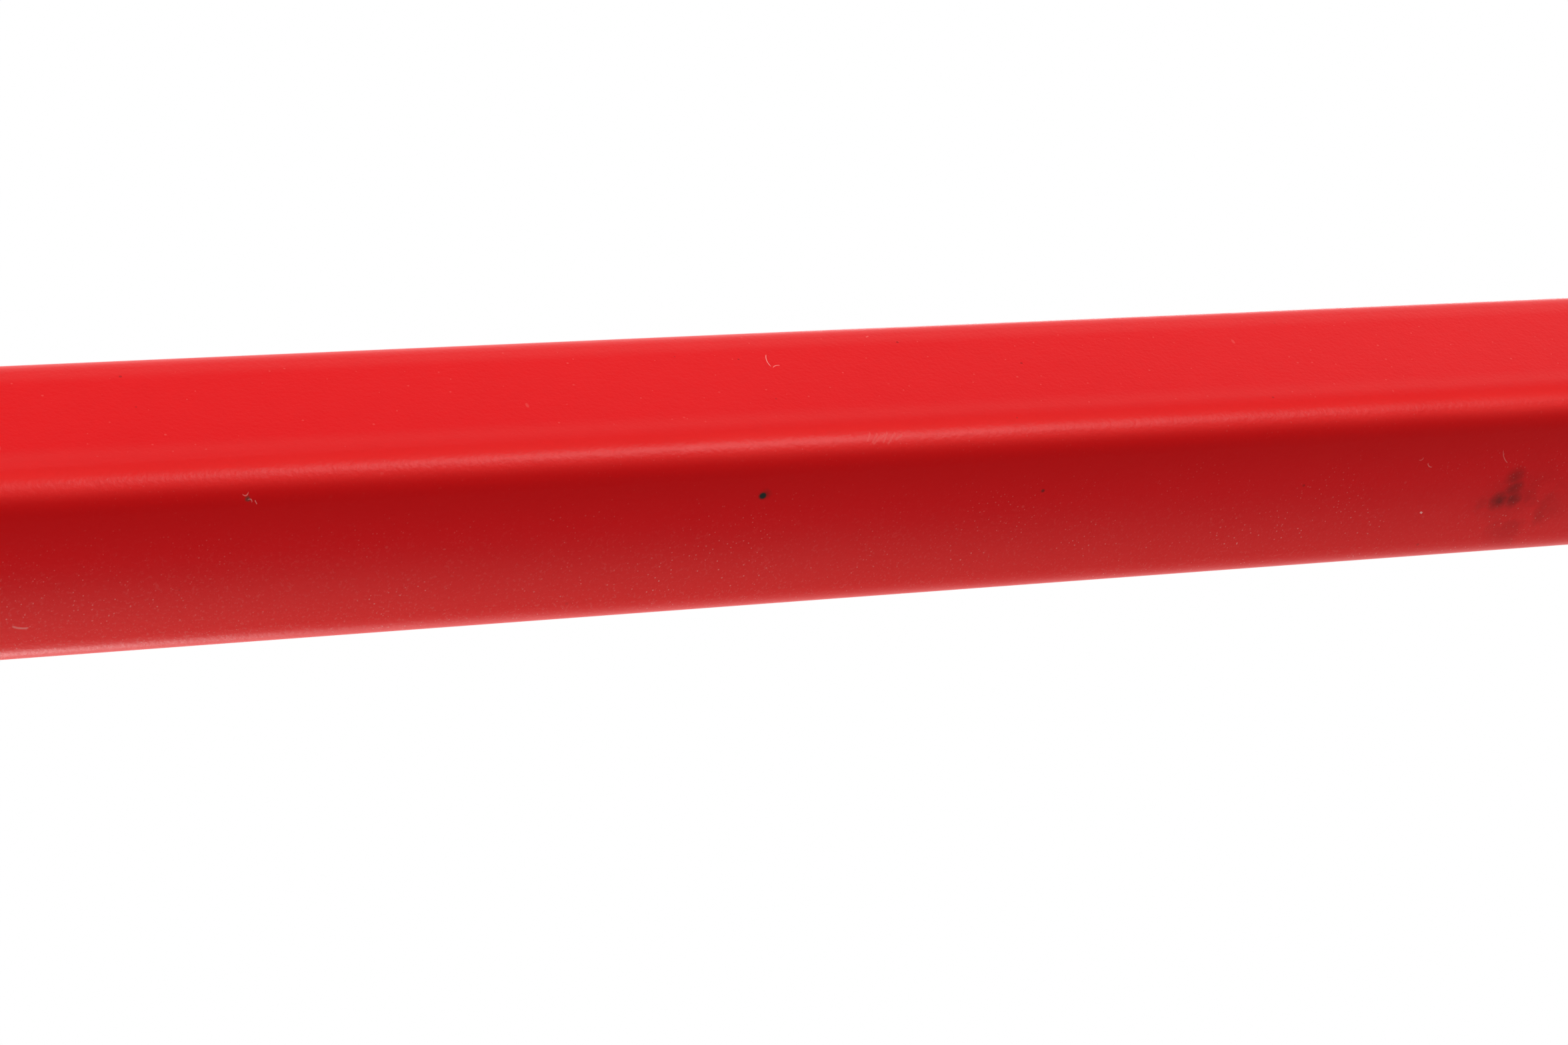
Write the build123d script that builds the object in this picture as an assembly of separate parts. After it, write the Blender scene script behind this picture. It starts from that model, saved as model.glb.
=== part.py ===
from build123d import *
from math import asin, cos, pi, sin, sqrt
import os

# A hand post driver: a heavy steel tube, closed at the top, that is dropped over a fence post.
# Two handles of rounded square tube are bolted between lugs welded on its sides.
# Millimetres. +Z runs up the tube, the handles lie in the XZ plane, and the origin is the
# centre of the open mouth, where the driver stands on the ground.

# ---- Driving dimensions ----

# Drive tube
TUBE_LENGTH = 610.0
TUBE_OD = 76.1
TUBE_WALL = 4.0
MOUTH_CHAMFER = 1.0

# Head: cap plate on top, solid ram weight and wear plate inside
CAP_HEIGHT = 12.0
CAP_OVERHANG = 4.0
CAP_EDGE_RADIUS = 3.0
CAP_UNDER_CHAMFER = 0.4
RAM_HEIGHT = 45.0
STRIKE_HEIGHT = 12.0
SLUG_CHAMFER = 0.8
SEAT_STEP = 0.75
SLUG_CLEARANCE = 0.1
PLUG_SPREAD = 30.0
RAM_PLUG_RADIUS = 6.0
STRIKE_PLUG_RADIUS = 4.0
PLUG_CROWN = 0.6

# Ring that stops the mouth from splitting
RING_HEIGHT = 30.0
RING_WALL = 5.0
RING_EDGE_RADIUS = 1.2

# Handles: rounded square tube, bent to a long C
HANDLE_SIZE = 25.0
HANDLE_WALL = 2.0
HANDLE_CORNER = 4.5
HAND_CLEARANCE = 64.5
HANDLE_SPAN = 400.0
BEND_RADIUS = 50.0
LEG_GAP = 8.0

# Lugs: pairs of plates that hold each leg of a handle
LUG_THICKNESS = 6.0
LUG_CLEARANCE = 0.25
LUG_NOSE_RADIUS = 16.0
LUG_ROOT_HEIGHT = 54.0
LUG_EDGE_RADIUS = 0.8

# Weld beads: the length of their legs and how far their faces bulge
RING_BEAD = 3.6
LUG_BEAD = 5.0
LUG_BEAD_INSET = 3.0
BEAD_CROWN = 0.8

# End plugs in the open legs
PLUG_FLANGE = 2.0
PLUG_DEPTH = 9.0
PLUG_WALL = 1.8
PLUG_CLEARANCE = 0.15

# Bolts, M8, with washers, crush sleeves and lock nuts
BOLT_DIAMETER = 8.0
BOLT_INSET = 16.0
BOLT_HOLE_CLEARANCE = 0.3
HEX_ACROSS_FLATS = 13.0
HEAD_HEIGHT = 5.3
WASHER_DIAMETER = 16.0
WASHER_THICKNESS = 1.6
NUT_HEX_HEIGHT = 6.3
NUT_COLLAR_HEIGHT = 1.7
NUT_COLLAR_RADIUS = 5.6
NUT_BORE_CLEARANCE = 0.04
INSERT_WALL = 0.8
THREAD_PITCH = 1.25
THREAD_LENGTH = 22.0
THREAD_DEPTH = 0.55
BOLT_PROTRUSION = 1.3
SLEEVE_WALL = 1.75
SLEEVE_PLAY = 0.1

# ---- Sizes worked out from them ----

TUBE_RADIUS = TUBE_OD / 2
BORE_RADIUS = TUBE_RADIUS - TUBE_WALL
SEAT_RADIUS = BORE_RADIUS + SEAT_STEP
SLUG_RADIUS = SEAT_RADIUS - SLUG_CLEARANCE
RAM_BASE = TUBE_LENGTH - RAM_HEIGHT
STRIKE_BASE = RAM_BASE - STRIKE_HEIGHT
HANDLE_REACH = TUBE_RADIUS + HAND_CLEARANCE + HANDLE_SIZE / 2
HANDLE_MIDDLE = (RING_HEIGHT + TUBE_LENGTH) / 2
HANDLE_BASE = HANDLE_MIDDLE - HANDLE_SPAN / 2
HANDLE_TOP = HANDLE_MIDDLE + HANDLE_SPAN / 2
LEG_END = TUBE_RADIUS + LEG_GAP
BOLT_X = LEG_END + BOLT_INSET
BOLT_RADIUS = BOLT_DIAMETER / 2
BOLT_HOLE_RADIUS = BOLT_RADIUS + BOLT_HOLE_CLEARANCE
HANDLE_BORE = HANDLE_SIZE - 2 * HANDLE_WALL
HANDLE_BORE_CORNER = HANDLE_CORNER - HANDLE_WALL
LUG_INNER_FACE = HANDLE_SIZE / 2 + LUG_CLEARANCE
LUG_OUTER_FACE = LUG_INNER_FACE + LUG_THICKNESS
LUG_MEET = sqrt(TUBE_RADIUS**2 - LUG_OUTER_FACE**2)
NUT_SEAT = LUG_OUTER_FACE + WASHER_THICKNESS
LEVELS = {"lower": HANDLE_BASE, "upper": HANDLE_TOP}
SIDES = {"right": 0.0, "left": 180.0}
FROM_BASE = (Align.CENTER, Align.CENTER, Align.MIN)
FROM_LEFT = (Align.MIN, Align.CENTER)


def disc(radius, height, base=0.0):
    """A solid cylinder on the tube's axis, standing on the height base."""
    return Pos(0, 0, base) * Cylinder(radius, height, align=FROM_BASE)


def across(radius, start, end, x, z):
    """A solid cylinder along Y, from start to end, through the point x, z."""
    length = end - start
    return Pos(x, start + length / 2, z) * Rot(90, 0, 0) * Cylinder(radius, length)


def to_side(shape, side):
    """The shape as modelled on the right, turned about the tube to the side asked for."""
    return Rot(0, 0, SIDES[side]) * shape


def ring_bead(corner_z, foot_z, leg):
    """A weld bead right round the tube: a corner, a foot on the tube and a bulging face."""
    corner = Vector(TUBE_RADIUS, 0, corner_z)
    foot = Vector(TUBE_RADIUS, 0, foot_z)
    toe = Vector(TUBE_RADIUS + leg, 0, corner_z)
    middle = (foot + toe) / 2
    crown = middle + (middle - corner).normalized() * BEAD_CROWN
    section = make_face([Line(corner, toe), ThreePointArc(toe, crown, foot), Line(foot, corner)])
    return revolve(section, axis=Axis.Z)


# ---- Drive tube and head ----


def plug_rows():
    """Angle, height and radius of each plug weld: a row into the ram and one into the plate.

    They sit in pairs either side of the front and the back, well clear of the lugs.
    """
    angles = [middle + lean for middle in (90, 270) for lean in (-PLUG_SPREAD, PLUG_SPREAD)]
    ram_height = RAM_BASE + RAM_HEIGHT / 2
    strike_height = STRIKE_BASE + STRIKE_HEIGHT / 2
    ram_row = [(angle, ram_height, RAM_PLUG_RADIUS) for angle in angles]
    strike_row = [(angle, strike_height, STRIKE_PLUG_RADIUS) for angle in angles]
    return ram_row, strike_row


def radial_pin(angle, height, radius, start, end):
    """A cylinder pointing out from the tube's axis at an angle, from start to end."""
    length = end - start
    pin = Pos(start + length / 2, 0, height) * Rot(0, 90, 0) * Cylinder(radius, length)
    return Rot(0, 0, angle) * pin


def drive_tube():
    """The round tube: a deburred mouth, a bored seat for the slugs, holes for plug welds."""
    tube = disc(TUBE_RADIUS, TUBE_LENGTH) - disc(BORE_RADIUS, TUBE_LENGTH)
    mouth_edge = tube.faces().sort_by(Axis.Z)[0].edges().sort_by(SortBy.LENGTH)[0]
    tube = chamfer(mouth_edge, MOUTH_CHAMFER)
    tube -= disc(SEAT_RADIUS, TUBE_LENGTH - STRIKE_BASE, STRIKE_BASE)
    for row in plug_rows():
        for angle, height, radius in row:
            tube -= radial_pin(angle, height, radius, BORE_RADIUS / 2, TUBE_RADIUS + 1)
    return tube


def plug_welds(row):
    """The welds that fill a row's holes, from the slug out to a little proud of the tube."""
    slug = disc(SLUG_RADIUS, TUBE_LENGTH)
    proud = disc(TUBE_RADIUS + PLUG_CROWN, TUBE_LENGTH)
    welds = []
    for angle, height, radius in row:
        pin = radial_pin(angle, height, radius, BORE_RADIUS / 2, TUBE_RADIUS + 2 * PLUG_CROWN)
        welds.append((pin & proud) - slug)
    return welds


def ram_weight():
    """The solid slug that gives the head its weight."""
    slug = disc(SLUG_RADIUS, RAM_HEIGHT, RAM_BASE)
    return chamfer(slug.edges(), SLUG_CHAMFER)


def strike_plate():
    """The hard wear plate that lands on the post; it rests on the step of the bored seat."""
    plate = disc(SLUG_RADIUS, STRIKE_HEIGHT, STRIKE_BASE)
    return chamfer(plate.faces().sort_by(Axis.Z)[-1].edges(), SLUG_CHAMFER)


def end_cap():
    """The plate that closes the top, with a rounded upper edge."""
    cap = disc(TUBE_RADIUS + CAP_OVERHANG, CAP_HEIGHT, TUBE_LENGTH)
    cap = fillet(cap.faces().sort_by(Axis.Z)[-1].edges(), CAP_EDGE_RADIUS)
    return chamfer(cap.faces().sort_by(Axis.Z)[0].edges(), CAP_UNDER_CHAMFER)


def cap_weld():
    """The fillet weld under the overhang of the cap."""
    leg = min(RING_BEAD, CAP_OVERHANG - CAP_UNDER_CHAMFER)
    return ring_bead(TUBE_LENGTH, TUBE_LENGTH - RING_BEAD, leg)


def mouth_ring():
    """The ring round the open end, flush with it."""
    ring = disc(TUBE_RADIUS + RING_WALL, RING_HEIGHT) - disc(TUBE_RADIUS, RING_HEIGHT)
    outer = ring.faces().filter_by(GeomType.CYLINDER).sort_by(SortBy.AREA)[-1]
    return fillet(outer.edges().filter_by(GeomType.CIRCLE), RING_EDGE_RADIUS)


def mouth_ring_weld():
    """The fillet weld on the ring's upper edge."""
    leg = min(RING_BEAD, RING_WALL - RING_EDGE_RADIUS)
    return ring_bead(RING_HEIGHT, RING_HEIGHT + RING_BEAD, leg)


# ---- Handles ----


def handle_path():
    """The centreline of the right handle: leg, bend, grip, bend, leg."""
    return FilletPolyline(
        (LEG_END, 0, HANDLE_BASE),
        (HANDLE_REACH, 0, HANDLE_BASE),
        (HANDLE_REACH, 0, HANDLE_TOP),
        (LEG_END, 0, HANDLE_TOP),
        radius=BEND_RADIUS,
    )


def handle():
    """The bent square tube, open at both ends, with a bolt hole across each leg."""
    path = handle_path()
    start = Plane(origin=path @ 0, x_dir=(0, 1, 0), z_dir=path % 0)
    outer = RectangleRounded(HANDLE_SIZE, HANDLE_SIZE, HANDLE_CORNER)
    inner = RectangleRounded(HANDLE_BORE, HANDLE_BORE, HANDLE_BORE_CORNER)
    tube = sweep(start * outer, path=path) - sweep(start * inner, path=path)
    for height in LEVELS.values():
        tube -= across(BOLT_HOLE_RADIUS, -HANDLE_SIZE, HANDLE_SIZE, BOLT_X, height)
    return tube


def end_plug(height):
    """A moulded cap for one open leg: a flange outside and a hollow square spigot inside."""
    outer = RectangleRounded(HANDLE_SIZE, HANDLE_SIZE, HANDLE_CORNER)
    size = HANDLE_BORE - 2 * PLUG_CLEARANCE
    corner = HANDLE_BORE_CORNER - PLUG_CLEARANCE
    spigot = RectangleRounded(size, size, corner)
    hollow_size = size - 2 * PLUG_WALL
    hollow = RectangleRounded(hollow_size, hollow_size, corner / 3)
    face = Plane(origin=(LEG_END, 0, height), x_dir=(0, 1, 0), z_dir=(1, 0, 0))
    flange = extrude(face * outer, -PLUG_FLANGE)
    flange = fillet(flange.faces().sort_by(Axis.X)[0].edges(), 0.4 * PLUG_FLANGE)
    body = extrude(face * spigot, PLUG_DEPTH) - extrude(face * hollow, PLUG_DEPTH)
    return flange + body


def crush_sleeve(height):
    """The spacer tube on the bolt that stops the leg from being squeezed flat."""
    half = HANDLE_BORE / 2 - SLEEVE_PLAY
    outside = across(BOLT_HOLE_RADIUS + SLEEVE_WALL, -half, half, BOLT_X, height)
    return outside - across(BOLT_HOLE_RADIUS, -half, half, BOLT_X, height)


# ---- Lugs and their welds ----


def lug_plate(face):
    """One plate, its inner face at Y = face: wide at the tube, round about the bolt."""
    nose = Pos(BOLT_X, 0) * Circle(LUG_NOSE_RADIUS)
    buried = TUBE_RADIUS / 2
    root = Pos(buried, 0) * Rectangle(LUG_MEET - buried, LUG_ROOT_HEIGHT, align=FROM_LEFT)
    outline = make_hull(nose.edges() + root.edges())
    plane = Plane(origin=(0, face, 0), x_dir=(1, 0, 0), z_dir=(0, -1, 0))
    plate = extrude(plane * outline, -LUG_THICKNESS)
    broad = plate.faces().filter_by(Axis.Y)
    rim = [edge for side in broad for edge in side.edges() if edge.center().X > LUG_MEET]
    plate = fillet(rim, LUG_EDGE_RADIUS)
    plate -= across(BOLT_HOLE_RADIUS, face - 1, face + LUG_THICKNESS + 1, BOLT_X, 0)
    return plate - Pos(0, 0, -LUG_ROOT_HEIGHT) * Cylinder(
        TUBE_RADIUS, 2 * LUG_ROOT_HEIGHT, align=FROM_BASE
    )


def lug_pair(height):
    """The two plates that take one leg between them."""
    back = lug_plate(LUG_INNER_FACE)
    return [Pos(0, 0, height) * back, Pos(0, 0, height) * mirror(back, about=Plane.XZ)]


def lug_bead():
    """The weld along the outer side of one plate, from its face down on to the tube."""
    around = asin(LUG_OUTER_FACE / TUBE_RADIUS) + LUG_BEAD / TUBE_RADIUS
    foot = Vector(TUBE_RADIUS * cos(around), TUBE_RADIUS * sin(around))
    toe = Vector(LUG_MEET + LUG_BEAD, LUG_OUTER_FACE)
    corner = Vector(LUG_MEET, LUG_OUTER_FACE)
    middle = (foot + toe) / 2
    crown = middle + (middle - corner).normalized() * BEAD_CROWN
    under_foot = foot - Vector(LUG_BEAD, 0)
    under_toe = Vector(under_foot.X, LUG_OUTER_FACE)
    section = make_face(
        [
            ThreePointArc(toe, crown, foot),
            Line(foot, under_foot),
            Line(under_foot, under_toe),
            Line(under_toe, toe),
        ]
    )
    length = LUG_ROOT_HEIGHT - 2 * LUG_BEAD_INSET
    bead = Pos(0, 0, -length / 2) * extrude(section, length)
    tube = Pos(0, 0, -length) * Cylinder(TUBE_RADIUS, 2 * length, align=FROM_BASE)
    return bead - tube


def lug_welds(height):
    """The two outer beads of one pair of lugs."""
    bead = lug_bead()
    return [Pos(0, 0, height) * bead, Pos(0, 0, height) * mirror(bead, about=Plane.XZ)]


# ---- Bolts, washers and nuts; heads to the front (-Y), nuts to the back ----


def hexagon_prism(height):
    """A hexagon bar along Z, its top corners turned away at thirty degrees."""
    prism = extrude(RegularPolygon(HEX_ACROSS_FLATS / sqrt(3), 6, rotation=30), height)
    top_radius = 0.95 * HEX_ACROSS_FLATS / 2
    return prism & Cone(top_radius + height * sqrt(3), top_radius, height, align=FROM_BASE)


def bolt(height):
    """A hexagon bolt; its free end is grooved at the thread's pitch."""
    tip = NUT_SEAT + NUT_HEX_HEIGHT + NUT_COLLAR_HEIGHT + BOLT_PROTRUSION
    head = Pos(0, 0, -NUT_SEAT) * Rot(180, 0, 0) * hexagon_prism(HEAD_HEIGHT)
    shank = Pos(0, 0, -NUT_SEAT) * Cylinder(BOLT_RADIUS, tip + NUT_SEAT, align=FROM_BASE)
    shank = chamfer(shank.faces().sort_by(Axis.Z)[-1].edges(), THREAD_DEPTH)
    root = BOLT_RADIUS - THREAD_DEPTH
    flank = Polyline(
        (BOLT_RADIUS + 0.01, 0, 0),
        (root, 0, 0.4 * THREAD_PITCH),
        (root, 0, 0.5 * THREAD_PITCH),
        (BOLT_RADIUS + 0.01, 0, 0.9 * THREAD_PITCH),
        close=True,
    )
    groove = revolve(make_face(flank), axis=Axis.Z)
    first = tip - THREAD_DEPTH - THREAD_PITCH
    turns = int(THREAD_LENGTH / THREAD_PITCH)
    shank -= [Pos(0, 0, first - turn * THREAD_PITCH) * groove for turn in range(turns)]
    return Pos(BOLT_X, 0, height) * Rot(-90, 0, 0) * (head + shank)


def washers(height):
    """The washers under the head and under the nut."""
    found = []
    for start in (-NUT_SEAT, LUG_OUTER_FACE):
        end = start + WASHER_THICKNESS
        ring = across(WASHER_DIAMETER / 2, start, end, BOLT_X, height)
        found.append(ring - across(BOLT_HOLE_RADIUS, start, end, BOLT_X, height))
    return found


def lock_nut(height):
    """A hexagon nut whose round collar holds the nylon ring."""
    bore = BOLT_RADIUS + NUT_BORE_CLEARANCE
    nut = hexagon_prism(NUT_HEX_HEIGHT)
    collar = Pos(0, 0, NUT_HEX_HEIGHT) * Cylinder(
        NUT_COLLAR_RADIUS, NUT_COLLAR_HEIGHT, align=FROM_BASE
    )
    collar = fillet(collar.faces().sort_by(Axis.Z)[-1].edges(), 0.5 * NUT_COLLAR_HEIGHT)
    seat = Pos(0, 0, NUT_HEX_HEIGHT) * Cylinder(
        bore + INSERT_WALL, NUT_COLLAR_HEIGHT, align=FROM_BASE
    )
    hole = Cylinder(bore, NUT_HEX_HEIGHT + NUT_COLLAR_HEIGHT, align=FROM_BASE)
    return Pos(BOLT_X, NUT_SEAT, height) * Rot(-90, 0, 0) * (nut + collar - seat - hole)


def nut_insert(height):
    """The nylon ring in a lock nut's collar, gripping the thread."""
    bore = BOLT_RADIUS + NUT_BORE_CLEARANCE
    depth = 0.9 * NUT_COLLAR_HEIGHT
    start = NUT_SEAT + NUT_HEX_HEIGHT
    ring = across(bore + INSERT_WALL, start, start + depth, BOLT_X, height)
    return ring - across(bore, start, start + depth, BOLT_X, height)


# ---- Assembly ----


def solids_of(shapes):
    """Every separate solid of the shapes, as one compound."""
    return Compound([solid for shape in shapes for solid in shape.solids()])


def repeated(make):
    """What make gives at each level, on both sides."""
    found = []
    for side in SIDES:
        for height in LEVELS.values():
            made = make(height)
            parts = made if isinstance(made, list) else [made]
            # Bolts point the same way on both sides, so they are mirrored and not turned.
            found += [p if side == "right" else mirror(p, about=Plane.YZ) for p in parts]
    return found


def assembly():
    """Every named piece, as the name of its node and its solids."""
    ram_row, strike_row = plug_rows()
    pieces = {
        "drive_tube": [drive_tube()],
        "ram_weight": [ram_weight()],
        "strike_plate": [strike_plate()],
        "ram_plug_welds": plug_welds(ram_row),
        "strike_plug_welds": plug_welds(strike_row),
        "end_cap": [end_cap()],
        "cap_weld": [cap_weld()],
        "mouth_ring": [mouth_ring()],
        "mouth_ring_weld": [mouth_ring_weld()],
        "crush_sleeves": repeated(crush_sleeve),
        "handle_bolts": repeated(bolt),
        "bolt_washers": repeated(washers),
        "lock_nuts": repeated(lock_nut),
        "nut_inserts": repeated(nut_insert),
    }
    for side in SIDES:
        pieces[f"{side}_handle"] = [to_side(handle(), side)]
        for level, height in LEVELS.items():
            place = f"{level}_{side}"
            pieces[f"{place}_end_plug"] = [to_side(end_plug(height), side)]
            pieces[f"{place}_lugs"] = [to_side(p, side) for p in lug_pair(height)]
            pieces[f"{place}_lug_welds"] = [to_side(p, side) for p in lug_welds(height)]
    return pieces


os.makedirs("parts", exist_ok=True)
for name, shapes in assembly().items():
    export_step(solids_of(shapes), f"parts/{name}.step")

arc = pi / 2 * BEND_RADIUS
straight = 2 * (HANDLE_REACH - LEG_END - BEND_RADIUS) + HANDLE_SPAN - 2 * BEND_RADIUS
print("handle cut length", round(straight + 2 * arc, 1))
print("grip between bends", round(HANDLE_SPAN - 2 * BEND_RADIUS, 1))
print("usable depth", round(STRIKE_BASE, 1))
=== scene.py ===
# %% [markdown]
# # Post driver
# A post driver is a heavy steel tube, closed at its head. It is dropped over a fence post and thrown
# down by its two handles. This lesson takes the measured model of the tool, gives each piece its
# finish, and models again those pieces whose shape a drawing makes too clean: the bent handles,
# the weld beads and the plug welds.

# %% Load the measured model
import math
import random

import bmesh
import bpy
from mathutils import Matrix, Vector


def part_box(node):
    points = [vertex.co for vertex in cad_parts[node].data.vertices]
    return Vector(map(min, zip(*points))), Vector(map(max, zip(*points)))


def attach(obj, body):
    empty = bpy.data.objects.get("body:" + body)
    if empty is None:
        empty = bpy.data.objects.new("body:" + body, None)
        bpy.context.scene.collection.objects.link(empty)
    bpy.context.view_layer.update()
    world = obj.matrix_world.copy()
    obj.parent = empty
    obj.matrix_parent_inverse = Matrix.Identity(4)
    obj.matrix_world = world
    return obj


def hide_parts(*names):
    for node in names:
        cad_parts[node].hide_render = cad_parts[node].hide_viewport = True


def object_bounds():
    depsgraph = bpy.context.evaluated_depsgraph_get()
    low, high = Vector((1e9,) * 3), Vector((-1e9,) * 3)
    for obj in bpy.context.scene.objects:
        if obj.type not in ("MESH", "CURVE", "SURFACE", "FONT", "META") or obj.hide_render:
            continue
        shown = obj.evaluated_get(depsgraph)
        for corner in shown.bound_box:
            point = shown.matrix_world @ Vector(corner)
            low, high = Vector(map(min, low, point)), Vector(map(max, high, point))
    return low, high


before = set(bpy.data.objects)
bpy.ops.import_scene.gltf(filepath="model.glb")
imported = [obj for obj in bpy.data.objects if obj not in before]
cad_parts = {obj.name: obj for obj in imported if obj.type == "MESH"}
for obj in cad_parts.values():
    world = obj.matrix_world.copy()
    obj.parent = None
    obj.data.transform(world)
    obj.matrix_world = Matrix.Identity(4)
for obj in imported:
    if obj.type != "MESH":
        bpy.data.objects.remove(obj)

drawn_low, drawn_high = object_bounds()
MM = 0.001
print("pieces in the model:", len(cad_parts))
print("box in mm:", [round(v / MM, 1) for v in (*drawn_low, *drawn_high)])

# %% [markdown]
# ## Where things are
# Nothing is placed by eye. The middle of the right grip is the point that the whole scene is set
# out from: it is the part that a hand, and a viewer, comes to first. Its place is read from the
# model.

# %% The right grip
grip_low, grip_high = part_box("right_handle")
BAR = grip_high.y - grip_low.y
grip_axis_x = grip_high.x - BAR / 2
grip_middle = Vector((grip_axis_x, 0, (grip_low.z + grip_high.z) / 2))
print("bar width in mm:", round(BAR / MM, 2), " grip middle:", [round(v / MM, 2) for v in grip_middle])

# %% [markdown]
# ## The camera
# The camera stands close, in front and low, and looks up along the inner side of the right grip,
# turned on its side so that the upright grip lies across the view. A camera can be placed by its
# position and a target, but a tilted one is easier to hold as three angles: where it heads, how far
# it looks up, and how far it is rolled.

# %% Place the camera
CAMERA_FROM_GRIP = Vector((-239.79, -318.23, -162.69)) * MM
HEADING, LOOK_UP, ROLL = math.radians(52.069), math.radians(22.157), math.radians(86.289)

level = math.cos(LOOK_UP)
look = Vector((level * math.cos(HEADING), level * math.sin(HEADING), math.sin(LOOK_UP)))
level_right = look.cross(Vector((0, 0, 1))).normalized()
level_up = level_right.cross(look)
camera_right = level_right * math.cos(ROLL) + level_up * math.sin(ROLL)
camera_up = camera_right.cross(look)

bpy.ops.object.camera_add(location=grip_middle + CAMERA_FROM_GRIP)
camera = bpy.context.object
camera.name = "studio_camera"
camera.data.lens = 85
camera.data.sensor_width = 36
camera.data.clip_start, camera.data.clip_end = 0.01, 50
camera.rotation_mode = "QUATERNION"
camera.rotation_quaternion = Matrix((camera_right, camera_up, -look)).transposed().to_quaternion()
bpy.context.scene.camera = camera
print("camera is", round(CAMERA_FROM_GRIP.length / MM), "mm from the grip")

# %% [markdown]
# ## Finishes as sums
# A finish in Blender is a net of nodes. Drawn by hand such a net is easy to follow, but in code it
# is easier to write the maths as maths. The small class below wraps one output of one node, so that
# `1 - mask` or `grain * 0.2 + 0.4` adds the nodes that work it out.

# %% A wrapped output
class Flow:
    """One output of a node, with the signs of arithmetic."""

    def __init__(self, finish, socket):
        self.finish, self.socket = finish, socket

    def __add__(self, other):
        return self.finish.maths("ADD", self, other)

    def __sub__(self, other):
        return self.finish.maths("SUBTRACT", self, other)

    def __rsub__(self, other):
        return self.finish.maths("SUBTRACT", other, self)

    def __mul__(self, other):
        return self.finish.maths("MULTIPLY", self, other)

    def __truediv__(self, other):
        return self.finish.maths("DIVIDE", self, other)

    def __abs__(self):
        return self.finish.maths("ABSOLUTE", self)


print("one output of a node can now be added, taken away, multiplied and divided")

# %% [markdown]
# A finish holds its own net, its shader and the coordinates of the surface. Every node comes from
# the one method `node`. The short methods after it are the ones that are needed again and again:
# clouds of noise, masks that fade or rise, and one colour painted over another.

# %% A finish
class Finish:
    """A material, or another net of nodes, that is written as sums."""

    def __init__(self, name, constants=None):
        self.material = bpy.data.materials.new(name)
        self.material.use_nodes = True
        self.tree = self.material.node_tree
        self.tree.nodes.clear()
        self.shader = self.tree.nodes.new("ShaderNodeBsdfPrincipled")
        self.out = self.tree.nodes.new("ShaderNodeOutputMaterial")
        self.tree.links.new(self.shader.outputs[0], self.out.inputs["Surface"])
        for socket, value in (constants or {}).items():
            self.shader.inputs[socket].default_value = value
        self.at = self.node("ShaderNodeTexCoord", out="Object")

    def node(self, kind, settings=None, sockets=None, out=0):
        """Adds one node: its settings first, then the values or links of its sockets."""
        made = self.tree.nodes.new(kind)
        for name, value in (settings or {}).items():
            setattr(made, name, value)
        for name, value in (sockets or {}).items():
            if isinstance(value, Flow):
                self.tree.links.new(value.socket, made.inputs[name])
            else:
                made.inputs[name].default_value = value
        return Flow(self, made.outputs[out])

    def maths(self, operation, *terms):
        return self.node("ShaderNodeMath", {"operation": operation}, dict(enumerate(terms)))

    def vector(self, operation, *terms, out=0):
        return self.node("ShaderNodeVectorMath", {"operation": operation}, dict(enumerate(terms)), out)

    def along(self, axis, at=None):
        """How far each point lies along one axis, X, Y or Z, in metres."""
        return self.node("ShaderNodeSeparateXYZ", None, {"Vector": at or self.at}, out=axis)

    def length(self, arrow):
        return self.vector("LENGTH", arrow, out="Value")

    def noise(self, size, at=None, detail=3.0, roughness=0.5):
        """Cloudy noise from 0 to 1, whose clouds are about size metres across."""
        sockets = {"Vector": at or self.at, "Scale": 1 / size, "Detail": detail, "Roughness": roughness}
        return self.node("ShaderNodeTexNoise", None, sockets)

    def ramp(self, value, start, end, low, high):
        sockets = {"Value": value, "From Min": start, "From Max": end, "To Min": low, "To Max": high}
        return self.node("ShaderNodeMapRange", {"interpolation_type": "SMOOTHSTEP"}, sockets)

    def fade(self, value, start, end):
        """1 where value is at or below start, 0 from end on, and smooth between."""
        return self.ramp(value, start, end, 1.0, 0.0)

    def rise(self, value, start, end):
        """0 where value is at or below start, 1 from end on, and smooth between."""
        return self.ramp(value, start, end, 0.0, 1.0)

    def most(self, *masks):
        """The strongest of several masks at each point."""
        strongest = masks[0]
        for mask in masks[1:]:
            strongest = self.maths("MAXIMUM", strongest, mask)
        return strongest

    def paint(self, mask, under, over):
        """One colour over another where the mask is 1."""
        return self.node("ShaderNodeMix", {"data_type": "RGBA"}, {0: mask, 6: under, 7: over}, 2)

    def feed(self, socket, value):
        self.tree.links.new(value.socket, self.shader.inputs[socket])

    def relief(self, height, depth):
        """Raises the surface by height, from 0 to 1, times depth in metres."""
        bump = self.node("ShaderNodeBump", None, {"Strength": 1.0, "Distance": depth, "Height": height})
        self.feed("Normal", bump)


print("finishes are written as sums")

# %% [markdown]
# ## Light
# The tool stands on a pale floor in a white room. Two large soft lamps stand to its left, one in
# front and one behind, so that faces turned to the left are about twice as bright as the front.
# The one behind is kept out of reflections, so that the lit corner of the grip shows one bright
# line and not two. Two more fill from the right, one of them so far round that it only grazes the
# front. A lamp's strength could be tried out by eye. Here it is worked out instead: at level 1 a
# surface square to the lamp shows its colour just as it is written.

# %% Lamps
room_middle = (drawn_low + drawn_high) / 2
LAMP_DISTANCE = 1.9


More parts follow.
